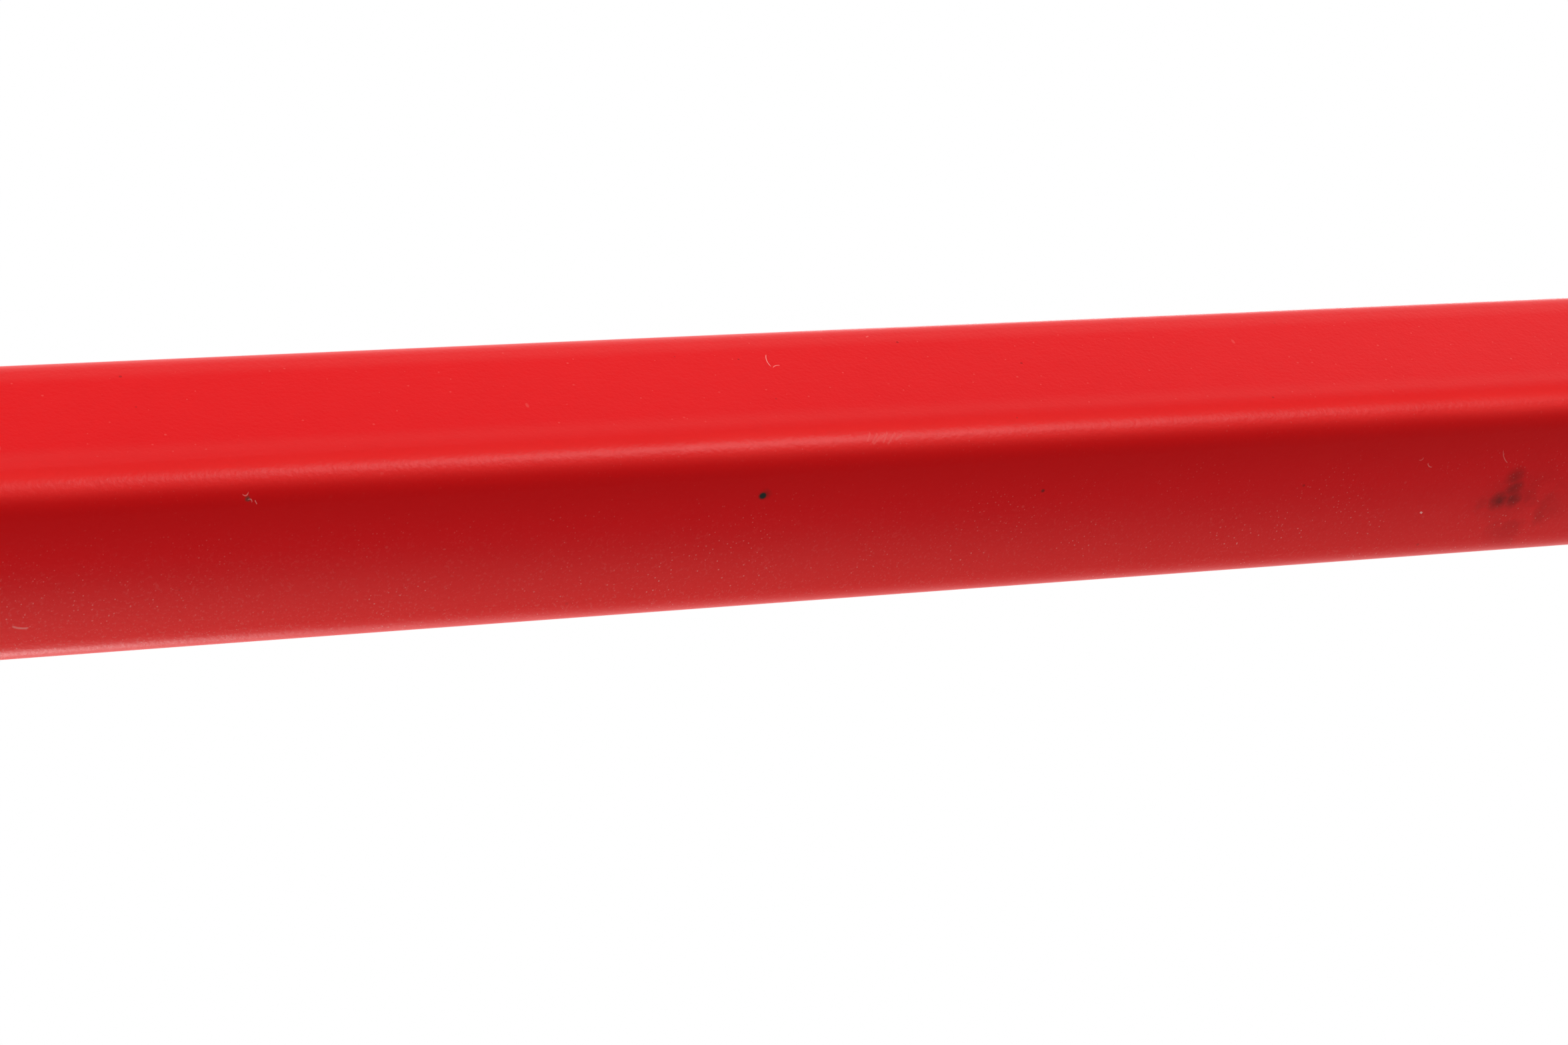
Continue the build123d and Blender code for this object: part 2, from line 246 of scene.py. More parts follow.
def lamp(name, direction, size, level, in_gloss=True):
    """Adds a square soft lamp that shines at the middle of the tool."""
    towards = Vector(direction).normalized()
    bpy.ops.object.light_add(type="AREA", location=room_middle + towards * LAMP_DISTANCE)
    made = bpy.context.object
    made.name = name
    made.data.shape = "SQUARE"
    made.data.size = size
    made.data.energy = level * math.pi**2 * LAMP_DISTANCE**2
    made.rotation_euler = towards.to_track_quat("Z", "Y").to_euler()
    made.visible_camera = False
    made.visible_glossy = in_gloss
    print(name, "gives", round(made.data.energy, 1), "W")


lamp("left_front_lamp", (-0.832, -0.408, 0.375), 0.54, 0.47)
lamp("left_back_lamp", (-0.887, 0.455, 0.080), 0.80, 0.80, in_gloss=False)
lamp("right_fill_lamp", (0.985, -0.145, -0.030), 0.60, 0.64)
lamp("right_back_lamp", (0.420, 0.640, 0.640), 1.10, 0.353)

# %% [markdown]
# A white room gives light from all sides. The eye, and anything shiny, sees its walls as plain
# white, and the room lights the tool a little less than that, so that the lamps can still
# shape it.

# %% White room
AMBIENT = 0.168
world = bpy.data.worlds.new("white_room")
bpy.context.scene.world = world
world.use_nodes = True


class RoomLight(Finish):
    """The world's net of nodes, written as sums like a finish."""

    def __init__(self, tree):
        self.tree = tree


room = RoomLight(world.node_tree)
room.tree.nodes.clear()
WAYS_TO_SEE = ("Is Camera Ray", "Is Glossy Ray", "Is Transmission Ray")
plain_white = room.most(*[room.node("ShaderNodeLightPath", out=way) for way in WAYS_TO_SEE])
walls = {"Color": (1, 1, 1, 1), "Strength": plain_white * (1 - AMBIENT) + AMBIENT}
sky = room.node("ShaderNodeBackground", None, walls)
world_out = room.tree.nodes.new("ShaderNodeOutputWorld")
room.tree.links.new(sky.socket, world_out.inputs["Surface"])
bpy.context.scene.view_settings.view_transform = "Standard"
print("the room lights at", AMBIENT, "and looks white")

# %% [markdown]
# ## The floor
# The driver stands on its mouth. The floor is one large flat sheet whose top is at height 0, where
# the tool's lowest point is. Near the tool it is plain pale paint that takes a shadow. Further out
# it fades into the white of the room, as a paper backdrop does, so that there is no horizon. From
# below it is clear, so that it doesn't hide the tool.

# %% Floor
FLOOR_RADIUS = 6.0
FADE_STARTS, FADE_ENDS = 0.35, 1.25
bpy.ops.object.select_all(action="DESELECT")
bpy.ops.mesh.primitive_circle_add(vertices=96, radius=FLOOR_RADIUS, fill_type="NGON", location=(0, 0, 0))
floor = bpy.context.object
floor.name = "studio_floor"
floor_paint = Finish("floor_paint", {"Roughness": 0.8, "Specular IOR Level": 0.1})
FLOOR_DARK, FLOOR_PALE = (0.84, 0.84, 0.835, 1), (0.87, 0.87, 0.865, 1)
floor_paint.feed("Base Color", floor_paint.paint(floor_paint.noise(0.35), FLOOR_DARK, FLOOR_PALE))
floor_seen = floor_paint.node("ShaderNodeLightPath", out="Is Camera Ray")
floor_gloss = floor_paint.node("ShaderNodeLightPath", out="Is Glossy Ray")
far_white = floor_paint.most(floor_seen, floor_gloss) * (1 - AMBIENT) + AMBIENT
backdrop = floor_paint.node("ShaderNodeEmission", None, {"Color": (1, 1, 1, 1), "Strength": far_white})
how_far = floor_paint.rise(floor_paint.length(floor_paint.at), FADE_STARTS, FADE_ENDS)
painted = Flow(floor_paint, floor_paint.shader.outputs[0])
under_floor = floor_paint.node("ShaderNodeNewGeometry", out="Backfacing")
clear = floor_paint.node("ShaderNodeBsdfTransparent")
near_and_far = floor_paint.node("ShaderNodeMixShader", None, {0: how_far, 1: painted, 2: backdrop})
from_below = floor_paint.node("ShaderNodeMixShader", None, {0: under_floor, 1: near_and_far, 2: clear})
floor_paint.tree.links.new(from_below.socket, floor_paint.out.inputs["Surface"])
floor.data.materials.append(floor_paint.material)
print("floor is", 2 * FLOOR_RADIUS, "m across")

# %% [markdown]
# ## Helpers for modelling
# Modelling by hand is a round of: select some points, move or extrude them, select others. These
# helpers select in code, by place, what a hand would click on.

# %% Select by place
def start_clean():
    """Leaves nothing selected and no piece in edit mode."""
    if bpy.context.object and bpy.context.object.mode != "OBJECT":
        bpy.ops.object.mode_set(mode="OBJECT")
    bpy.ops.object.select_all(action="DESELECT")


def pick(kind, wanted):
    """Selects the points or edges in edit mode whose middle is wanted, and says how many."""
    bpy.ops.mesh.select_mode(type=kind)
    bpy.ops.mesh.select_all(action="DESELECT")
    shape = bmesh.from_edit_mesh(bpy.context.object.data)
    found = 0
    for part in shape.verts if kind == "VERT" else shape.edges:
        middle = part.co if kind == "VERT" else (part.verts[0].co + part.verts[1].co) / 2
        if wanted(middle):
            part.select_set(True)
            found += 1
    shape.select_flush_mode()
    bmesh.update_edit_mesh(bpy.context.object.data)
    return found


def edit_all():
    """Goes into edit mode with everything selected."""
    bpy.ops.object.mode_set(mode="EDIT")
    bpy.ops.mesh.select_all(action="SELECT")


def smooth(degrees):
    """Leaves edit mode and shades smoothly across edges up to that sharp."""
    bpy.ops.object.mode_set(mode="OBJECT")
    bpy.ops.object.shade_smooth_by_angle(angle=math.radians(degrees))


def selected_middle():
    """The middle of the selected points."""
    shape = bmesh.from_edit_mesh(bpy.context.object.data)
    chosen = [v.co.copy() for v in shape.verts if v.select]
    return sum(chosen, Vector()) / len(chosen)


print("points and edges can be picked by place")

# %% [markdown]
# A piece is finished in one step: it gets its name and its coat, it is told which body it rides
# on, and the pieces of the measured model that it stands for are hidden. The tool has no moving
# part, so every piece rides on the one body.

# %% Finish a piece
def select_only(piece):
    """Selects one piece and makes it the one that is worked on."""
    start_clean()
    piece.select_set(True)
    bpy.context.view_layer.objects.active = piece


def finish_piece(name, stands_for, coat):
    """Names the piece, gives it its finish, puts it on its body and hides the nodes that it stands for.
    """
    if bpy.context.object.mode != "OBJECT":
        bpy.ops.object.mode_set(mode="OBJECT")
    piece = bpy.context.object
    piece.name = name
    piece.data.name = name
    piece.data.materials.clear()
    piece.data.materials.append(coat.material)
    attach(piece, "root")
    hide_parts(*stands_for)
    print(name, "has", len(piece.data.polygons), "faces")


# %% [markdown]
# ## Red powder coat
# Powder coat is plastic powder baked on to steel. It is even in colour and satin, with a very fine
# grain, and in use it gathers pale dust, small scratches and the odd chip. The same base is used on
# every coated piece, shifted a little from piece to piece so that no two carry the same marks.
# First come its colours, as the share of red, green and blue light that each gives back.

# %% Coat colours
RED = (0.756, 0.0050, 0.0074, 1)
DEEP_RED = (0.666, 0.0042, 0.0074, 1)
DUST = (0.95, 0.43, 0.39, 1)
GRIME = (0.035, 0.012, 0.010, 1)
STEEL = (0.30, 0.27, 0.25, 1)
RUST = (0.17, 0.065, 0.03, 1)
print("red, dust, grime, steel and rust are mixed")

# %% [markdown]
# Specks of dust are small, round and scattered. Noise gives clouds and not specks, and an image
# of specks would blur close up. A cell pattern gives the distance to scattered points, and a lot
# is drawn for each cell to say whether it has a speck, and how large.

# %% Specks
def dots(finish, at, spacing, radius, share):
    """Small round specks, at random, in some share of the cells that are spacing metres apart."""
    cells = {"Vector": at, "Scale": 1 / spacing}
    distance = finish.node("ShaderNodeTexVoronoi", None, cells, out="Distance")
    lot = finish.node("ShaderNodeTexVoronoi", None, cells, out="Color")
    chance = finish.node("ShaderNodeSeparateColor", None, {"Color": lot}, out="Red")
    size = finish.node("ShaderNodeSeparateColor", None, {"Color": lot}, out="Green")
    reach = (size * 0.8 + 0.5) * (radius / spacing)
    return finish.fade(distance / reach, 0.55, 1.0) * finish.fade(chance, share - 0.01, share + 0.01)


print("specks are ready")

# %% [markdown]
# The coat is built up in layers, as it is on the tool: the red itself, then dust and grime, and
# last the places where it has gone and the steel shows. Each layer is a mask with a colour and a
# gloss of its own.

# %% The coat in layers
COAT_CONSTANTS = {"Specular IOR Level": 0.101, "IOR": 1.5}
DULL_DUST, DULL_GRIME, DULL_STEEL = 0.75, 0.6, 0.48
COAT_DEPTH = 0.05 * MM


class RedCoat(Finish):
    """Satin red powder coat, with layers of dust, grime and bare metal to add to."""

    def __init__(self, name, shift=(0, 0, 0), dustiness=1.0):
        super().__init__(name, COAT_CONSTANTS)
        self.moved = self.vector("ADD", self.at, shift)
        clouds = self.noise(0.045, self.moved, 2.0)
        mottle = self.noise(0.0035, self.moved, 3.0)
        self.colour = self.paint(clouds * 0.5 + mottle * 0.25, RED, DEEP_RED)
        self.gloss = clouds * 0.05 + mottle * 0.06 + 0.26
        self.metal = None
        grain = self.noise(0.00055, self.moved, 2.0, 0.6)
        peel = self.noise(0.0024, self.moved, 2.0)
        self.height = grain * 0.55 + peel * 0.45
        specks = dots(self, self.moved, 0.0014, 0.00014, 0.55)
        crumbs = dots(self, self.moved, 0.0042, 0.00030, 0.45)
        stretch = {"Vector": self.moved, "Rotation": (0.5, 0.3, 0.7), "Scale": (1.0, 0.25, 0.6)}
        dashes = dots(self, self.node("ShaderNodeMapping", None, stretch), 0.0016, 0.00013, 0.30)
        self.dust(self.most(specks * 0.34, crumbs * 0.16, dashes * 0.30) * dustiness)
        elsewhere = self.vector("ADD", self.moved, (0.3, 0.2, 0.1))
        self.grime(dots(self, elsewhere, 0.0050, 0.00022, 0.30) * 0.45)

    def layer(self, mask, colour, gloss):
        self.colour = self.paint(mask, self.colour, colour)
        self.gloss = self.gloss + (gloss - self.gloss) * mask

    def dust(self, mask):
        self.layer(mask, DUST, DULL_DUST)

    def grime(self, mask):
        self.layer(mask, GRIME, DULL_GRIME)

    def bare(self, mask):
        """Metal that shows through the coat, a little lower than it, with rust in places."""
        rusty = self.rise(self.noise(0.006, self.moved), 0.45, 0.62)
        self.layer(mask, self.paint(rusty, STEEL, RUST), DULL_STEEL)
        shine = mask * (1 - rusty * 0.8)
        self.metal = shine if self.metal is None else self.most(self.metal, shine)
        self.height = self.height * (1 - mask) - mask * 0.9

    def ends(self):
        """Joins the layers to the shader."""
        self.feed("Base Color", self.colour)
        self.feed("Roughness", self.gloss)
        if self.metal is not None:
            self.feed("Metallic", self.metal)
        self.relief(self.height, COAT_DEPTH)
        print(self.material.name, "has", len(self.tree.nodes), "nodes")


print("the coat is ready to be layered")

# %% [markdown]
# ### Marks on the grips
# Hands, gloves and tool racks mark a grip. A mark is a small mask: a soft round spot, or a thin
# stroke. Each is given by its place on the bar: which face it is on, how far across the bar from
# its middle line and how far along from the middle of the grip, in millimetres. It could also be
# painted on an image, but then it would have no size of its own.

# %% Spots and strokes
FRONT, INNER = "front", "inner"


def on_bar(face, across, along):
    """The point on a face of the right grip, and how much x, y and z count in a distance there."""
    if face == FRONT:
        return Vector((grip_axis_x + across * MM, -BAR / 2, grip_middle.z + along * MM)), (1, 0.1, 1)
    return Vector((grip_axis_x - BAR / 2, across * MM, grip_middle.z + along * MM)), (0.1, 1, 1)


def spot(finish, face, across, along, radius, softness=0.3, ragged=0.0):
    """A round spot of that radius in millimetres, its edge soft and ragged."""
    place, counts = on_bar(face, across, along)
    offset = finish.vector("MULTIPLY", finish.vector("SUBTRACT", finish.at, place), counts)
    distance = finish.length(offset)
    if ragged:
        edge = finish.noise(radius * MM * 0.6, detail=4.0) - 0.5
        distance = distance + edge * (ragged * radius * MM)
    return finish.fade(distance, radius * MM * (1 - softness), radius * MM)


def stroke(finish, face, across, along, length, width, angle=0.0, curve=0.0):
    """A thin line in millimetres, at an angle in degrees from the bar's length, bent by curve."""
    place, counts = on_bar(face, across, along)
    sine, cosine = math.sin(math.radians(angle)), math.cos(math.radians(angle))
    side = (1, 0, 0) if face == FRONT else (0, 1, 0)
    heading = Vector(side) * sine + Vector((0, 0, 1)) * cosine
    aside = Vector(side) * cosine - Vector((0, 0, 1)) * sine
    offset = finish.vector("SUBTRACT", finish.at, place)
    run = finish.vector("DOT_PRODUCT", offset, heading, out="Value")
    off = finish.vector("DOT_PRODUCT", offset, aside, out="Value")
    if curve:
        off = off + run * run * (4 * curve / (length * length * MM))
    inwards = (0, 1, 0) if face == FRONT else (1, 0, 0)
    depth = finish.vector("DOT_PRODUCT", offset, inwards, out="Value")
    return (
        finish.fade(abs(run), length * MM * 0.35, length * MM * 0.5)
        * finish.fade(abs(off), width * MM * 0.25, width * MM * 0.6)
        * finish.fade(abs(depth), 2.5 * MM, 3.5 * MM)
    )


print("marks can be placed on the front and on the inner side of the grip")

# %% [markdown]
# ### Sides of the right grip
# Wear, and the light and shade painted on the grip, depend on the side of the bar. A mask for each
# side could be painted by hand, but the coordinates of the surface already tell the sides apart: x
# runs across the bar, y through it and z along it.

# %% Masks for the sides
right_coat = RedCoat("right_grip_coat", (0.013, 0.027, 0.041), 0.35)
across_bar, through_bar, along_bar = (right_coat.along(axis) for axis in "XYZ")
front_side = right_coat.fade(through_bar, -12.0 * MM, -10.5 * MM)
outer_side = right_coat.rise(across_bar, grip_axis_x - 4 * MM, grip_high.x)
inner_half = right_coat.fade(across_bar, grip_axis_x - 3 * MM, grip_axis_x)
lower_part = right_coat.fade(along_bar, grip_middle.z - 100 * MM, grip_middle.z + 120 * MM)
from_grip = right_coat.vector("SUBTRACT", right_coat.at, (grip_axis_x, 0, grip_middle.z))
from_grip = right_coat.vector("ABSOLUTE", from_grip)
straight_part = right_coat.fade(right_coat.along("Z", from_grip), 120 * MM, 150 * MM)


def near_corner(x, y, start, end):
    """A mask along both inner corners of the grip, x and y millimetres from the bar's middle line."""
    away = right_coat.vector("SUBTRACT", from_grip, (x * MM, y * MM, 0))
    away = right_coat.length(right_coat.vector("MULTIPLY", away, (1, 1, 0)))
    return right_coat.fade(away, start * MM, end * MM) * straight_part * inner_half


print("the straight part of the grip is shorter than", round((grip_high.z - grip_low.z) / MM), "mm")

# %% [markdown]
# ### Dust and painted light
# The outer half of the front has the most dust. Its outer side is painted a lighter red, more so
# lower down: painted light. Along the inner corners the red is painted paler, a painted highlight,
# and on the front beside the inner corner it is painted deeper, a painted shade. All of it is soft,
# so each layer is a mask times a small share.

# %% Dust and painted light on the right grip
# The first three reds are painted light and highlight, the fourth is painted shade.
OUTER_LIGHT_RED = (1.0, 0.030, 0.026, 1)
CORNER_HIGHLIGHT_RED = (1.0, 0.053, 0.046, 1)
INNER_FACE_HIGHLIGHT_RED = (0.74, 0.066, 0.062, 1)
SHADED_RED = (0.62, 0.0014, 0.0026, 1)
PALE_DUST = (1.0, 0.50, 0.45, 1)

patches = right_coat.noise(0.0009, detail=4.0) * 0.5 + right_coat.noise(0.012) * 0.5 + 0.45
right_coat.dust(outer_side * (lower_part * 0.08 + 0.05) * patches)
# Painted light: the outer side of the front is painted a lighter red, stronger lower down.
painted_outer_light = right_coat.rise(across_bar, grip_axis_x - 2 * MM, grip_high.x) * (lower_part * 0.45 + 0.45)
painted_outer_light = painted_outer_light * right_coat.fade(through_bar, -11.0 * MM, -8.5 * MM)
right_coat.colour = right_coat.paint(painted_outer_light, right_coat.colour, OUTER_LIGHT_RED)
# Painted highlight: the inner corners are painted a paler red.
painted_corner_highlight = near_corner(11.2, 11.3, 0.8, 3.2) * (right_coat.noise(0.014) * 0.32 + 0.27)
right_coat.colour = right_coat.paint(painted_corner_highlight, right_coat.colour, CORNER_HIGHLIGHT_RED)
# Painted highlight: a paler red on the inner face beside the corner, where the drive tube blocks the
# lamp's reflection.
painted_inner_face_highlight = near_corner(12.4, 8.4, 0.8, 3.0) * 0.22
right_coat.colour = right_coat.paint(painted_inner_face_highlight, right_coat.colour, INNER_FACE_HIGHLIGHT_RED)

powdery = dots(right_coat, right_coat.at, 0.00060, 0.00010, 0.8)
powdery = powdery * (outer_side * 0.42 + 0.14) * front_side
right_coat.dust(powdery * right_coat.rise(right_coat.noise(0.011), 0.35, 0.60))
fine_powder = right_coat.rise(right_coat.noise(0.00034, detail=2.0), 0.56, 0.70)
fine_powder = fine_powder * (outer_side * 0.10 + 0.02) * front_side
right_coat.dust(fine_powder * (lower_part * 0.5 + 0.5))
print("wear is on, dust is", [round(share, 2) for share in DUST[:3]])

# %% [markdown]
# ### Scratches and scuffs
# A scratch in powder coat turns it pale and doesn't cut it. Beside the corner a buckle or a tool
# has left a row of short scuffs that lie across the bar, none of them quite like the next.

# %% Scratches on the right grip
SCUFFS = 8
corner_scuffs = [
    stroke(
        right_coat,
        FRONT,
        across=-11.55 + 0.12 * (n % 3),
        along=4.2 + 0.50 * n + 0.2 * (n % 2),
        length=0.9 + 0.3 * (n % 3),
        width=0.22,
        angle=-48 + 9 * (n % 4),
    )
    * 0.30
    for n in range(SCUFFS)
]
scratches = right_coat.most(
    stroke(right_coat, FRONT, 5.9, -90.6, 2.0, 0.30, 12, 0.2) * 0.9,
    stroke(right_coat, INNER, 7.7, 10.9, 0.5, 0.20, 30) * 0.6,
    *corner_scuffs,
    stroke(right_coat, FRONT, -4.5, 89.7, 2.5, 0.13, 58, 0.25),
    stroke(right_coat, FRONT, -3.9, 79.2, 1.1, 0.16, 40, 0.2),
    stroke(right_coat, FRONT, -4.9, 77.9, 0.7, 0.16, -35, 0.2),
)
right_coat.dust(scratches * 0.38)
pale_speck = stroke(right_coat, FRONT, 3.2, 80.4, 0.45, 0.3, 30)
right_coat.layer(pale_speck * 0.8, PALE_DUST, 0.7)
caught_hair = right_coat.most(
    stroke(right_coat, INNER, 3.8, -3.2, 2.6, 0.11, 84, 0.25),
    stroke(right_coat, INNER, 2.7, -2.5, 1.1, 0.11, 20, 0.2),
)
right_coat.layer(caught_hair * 0.40, (1.0, 0.71, 0.65, 1), 0.6)
# Painted shade: the front beside the inner corner is painted a deeper red.
shaded = right_coat.fade(across_bar, grip_axis_x - 8.5 * MM, grip_axis_x - 1 * MM)
shaded = shaded * right_coat.fade(through_bar, -12.2 * MM, -11.2 * MM)
right_coat.colour = right_coat.paint(shaded * 0.8, right_coat.colour, SHADED_RED)
print("scuffs beside the corner:", SCUFFS)

# %% [markdown]
# ### Oil, tar and a nick
# An oily thumb has left a smudge with a thin cloud round it, tar has left two dots, and one small
# nick goes deep enough to look brown. Soft spots that overlap look more like a smudge than one
# spot with a ragged edge.

# %% Oil, tar and a nick on the right grip
SMUDGES = (  # across, along, radius, ragged, share
    (2.1, 91.2, 2.3, 0.4, 1.0), (2.0, 93.2, 2.2, 0.4, 0.95), (0.4, 92.8, 2.3, 0.4, 0.85),
    (-1.3, 92.4, 2.2, 0.4, 0.7), (1.5, 92.8, 5.5, 0.6, 0.28), (2.4, 89.0, 2.2, 0.9, 0.25),
)
smudges = [
    spot(right_coat, FRONT, across, along, radius, 0.95, ragged) * share
    for across, along, radius, ragged, share in SMUDGES
]
oil_smudge = right_coat.most(*smudges) * (right_coat.noise(0.0009, detail=4.0) * 0.6 + 0.5)
oil_cloud = spot(right_coat, FRONT, 3.6, 95.0, 9.0, 0.95, 0.8)
oil_cloud = oil_cloud * right_coat.rise(right_coat.noise(0.0045), 0.42, 0.62) * 0.24
faint_dot = spot(right_coat, FRONT, -3.85, 27.1, 0.34, 0.7) * 0.7
right_coat.grime(right_coat.most(oil_smudge * 0.85, oil_cloud, faint_dot))
tar_dot = spot(right_coat, FRONT, -5.6, -8.25, 0.64, 0.55)
tar_halo = spot(right_coat, FRONT, -5.75, -8.0, 1.0, 0.95, 0.5)
right_coat.layer(right_coat.most(tar_dot, tar_halo * 0.5), (0.008, 0.014, 0.010, 1), 0.5)
nick_floor = spot(right_coat, FRONT, -9.2, -67.5, 0.42, 0.7, 0.9)
right_coat.layer(nick_floor * 0.8, (0.09, 0.045, 0.035, 1), 0.55)
nick_rim = right_coat.most(
    stroke(right_coat, FRONT, -9.55, -67.7, 0.75, 0.16, -15, 0.3),
    stroke(right_coat, FRONT, -9.1, -67.15, 0.65, 0.14, 35, -0.25),
    stroke(right_coat, FRONT, -8.75, -66.6, 0.6, 0.12, 65),
)
right_coat.dust(nick_rim * 0.42)
right_coat.ends()

# %% [markdown]
# ### The left grip's coat
# The left grip has been knocked more: its coat has a few small chips, where the noise peaks.

# %% Left grip's coat
left_coat = RedCoat("left_grip_coat", (0.211, 0.117, 0.083), 1.0)
left_coat.bare(left_coat.rise(left_coat.noise(0.011, left_coat.moved, 5.0), 0.735, 0.75))
left_coat.ends()

# %% [markdown]
# ## The handles
# Each handle is one length of square tube with rounded corners, bent twice. On the real tube the
# walls are not quite flat: rolling leaves the front and back slightly crowned, and each bend pulls
# its outer and inner walls in. The section could be swept along a path, but then those two things
# are lost. Here the section is drawn once, as a flat sheet with its corners rounded, and then
# pushed along.

# %% Section of the tube
CROWN = 0.24 * MM
CORNER = 4.5 * MM
CUTS = 7
BEND = 50.0 * MM
leg_low, leg_high = grip_low.z + BAR / 2, grip_high.z - BAR / 2

start_clean()
bpy.ops.mesh.primitive_plane_add(
    size=BAR, location=(grip_low.x, 0, leg_low), rotation=(0, math.pi / 2, 0)
)
bpy.ops.object.transform_apply(location=True, rotation=True, scale=True)
edit_all()
bpy.ops.mesh.bevel(offset=CORNER, offset_type="OFFSET", segments=8, profile=0.5, affect="VERTICES")
bpy.ops.mesh.delete(type="ONLY_FACE")
straight = BAR / 2 - CORNER
pick("EDGE", lambda p: abs(p.y) < 1e-5 or abs(p.z - leg_low) < 1e-5)
bpy.ops.mesh.subdivide(number_cuts=CUTS)
for cut in range(1, CUTS + 1):
    along = straight * (2 * cut / (CUTS + 1) - 1)
    for sign in (-1, 1):
        spot_y, spot_z = sign * BAR / 2, leg_low + along
        pick("VERT", lambda p: abs(p.y - spot_y) < 2e-5 and abs(p.z - spot_z) < 2e-5)
        bpy.ops.transform.translate(value=(0, sign * CROWN * (1 - (along / straight) ** 2), 0))
print("points in the section:", pick("VERT", lambda p: True))

# %% [markdown]
# The section is pushed out from the body, round the first bend, up the grip in short steps, round
# the second bend and back. The steps give the long grip rings of points, so that it shades evenly.

# %% Push the section along
BEND_STEPS = 28
GRIP_RINGS = 24


def push(*way):
    """Extrudes what is selected and moves it that way, in metres."""
    bpy.ops.mesh.extrude_region_move(TRANSFORM_OT_translate={"value": way})


def swing(centre):
    """Turns the selected ring a quarter turn round a bend's centre, outwards from the body."""
    bpy.ops.mesh.spin(steps=BEND_STEPS, angle=math.radians(90), center=centre, axis=(0, 1, 0))


push(grip_axis_x - BEND - grip_low.x, 0, 0)
swing((grip_axis_x - BEND, 0, leg_low + BEND))
print("after the first bend, in mm:", [round(v / MM, 2) for v in selected_middle()])
for ring in range(GRIP_RINGS):
    push(0, 0, (leg_high - leg_low - 2 * BEND) / GRIP_RINGS)
swing((grip_axis_x - BEND, 0, leg_high - BEND))
push(grip_low.x - grip_axis_x + BEND, 0, 0)
print("at the end, in mm:", [round(v / MM, 2) for v in selected_middle()])
bpy.ops.mesh.select_all(action="SELECT")
bpy.ops.mesh.remove_doubles(threshold=1e-6)
bpy.ops.mesh.normals_make_consistent(inside=False)

# %% [markdown]
# ### Pulled-in bends
# When a square tube is bent, its outer wall is stretched and its inner wall is squeezed, and both
# sink a little. The middle line of each wall is selected round the bend and drawn towards or away
# from the bend's centre, and proportional editing carries its neighbours with it.

# %% Sink the walls in the bends
SINK = 0.9 * MM
for centre_z, turn in ((leg_low + BEND, -1), (leg_high - BEND, 1)):
    centre = Vector((grip_axis_x - BEND, 0, centre_z))
    for side in (1, -1):
        radius = BEND + side * BAR / 2

        def wall_line(p):
            out = Vector((p.x - centre.x, 0, p.z - centre.z))
            in_bend = out.x > 0.35 * radius and turn * out.z > 0.35 * radius
            return in_bend and abs(p.y) < 1e-4 and abs(out.length - radius) < 2e-4

        found = pick("VERT", wall_line)
        factor = (radius - side * SINK) / radius
        bpy.ops.transform.resize(
            value=(factor, 1, factor),
            center_override=centre,
            use_proportional_edit=True,
            use_proportional_connected=True,
            proportional_edit_falloff="SMOOTH",
            proportional_size=9 * MM,
        )
        print("wall points drawn in:", found)

# %% [markdown]
# ### Wall and bolt holes
# So far the handle is a skin. It gets its wall inwards, so that its outside stays as it was
# measured. The bolt holes are drilled after that, as in the workshop: cutting a hole through a
# finished tube is simpler than building the tube round a hole.

# %% Wall and bolt holes
WALL = 2.0 * MM
WASHER_RADIUS = 8.0 * MM
HOLE_RADIUS = 4.3 * MM
bpy.ops.object.mode_set(mode="OBJECT")
tube = bpy.context.object
thicken = tube.modifiers.new("wall", "SOLIDIFY")
thicken.thickness = WALL
thicken.offset = -1
thicken.use_even_offset = True
bpy.ops.object.modifier_apply(modifier=thicken.name)

bolt_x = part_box("bolt_washers")[1].x - WASHER_RADIUS
for leg in (leg_low, leg_high):
    start_clean()
    bpy.ops.mesh.primitive_cylinder_add(
        vertices=48,
        radius=HOLE_RADIUS,
        depth=BAR * 1.4,
        location=(bolt_x, 0, leg),
        rotation=(math.pi / 2, 0, 0),
    )
    drill = bpy.context.object
    select_only(tube)
    cut = tube.modifiers.new("bolt_hole", "BOOLEAN")
    cut.operation = "DIFFERENCE"
    cut.object = drill
    cut.solver = "EXACT"
    bpy.ops.object.modifier_apply(modifier=cut.name)
    bpy.data.objects.remove(drill)
bpy.ops.object.shade_smooth_by_angle(angle=math.radians(35))
print("bolts cross the legs at x =", round(bolt_x / MM, 2), "mm")

# %% [markdown]
# ### The left handle
# The two handles are the same bent tube. The left one is a copy with its own mesh, mirrored across
# the middle of the tool. A mirrored shell is inside out, so its faces are turned again.

# %% Left handle
select_only(tube)
bpy.ops.object.duplicate(linked=False)
edit_all()
bpy.ops.transform.mirror(constraint_axis=(True, False, False), center_override=(0, 0, 0))
bpy.ops.mesh.normals_make_consistent(inside=False)
finish_piece("left_grip_tube", ["left_handle"], left_coat)
select_only(tube)
finish_piece("right_grip_tube", ["right_handle"], right_coat)

# %% [markdown]
# ## Coats of the body
# The drive tube is coated outside and bare inside, where posts scour it. It could have two
# finishes, but one can do both, because the distance from the tube's axis tells inside from
# outside. Near the ground it is splashed with mud.

# %% Body coat
MUD = (0.30, 0.12, 0.07, 1)
WET_MUD = (0.26, 0.12, 0.075, 1)


def off_axis(finish):
    """The distance from the tube's axis."""
    return finish.length(finish.vector("MULTIPLY", finish.at, (1, 1, 0)))


TUBE_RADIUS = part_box("drive_tube")[1].x

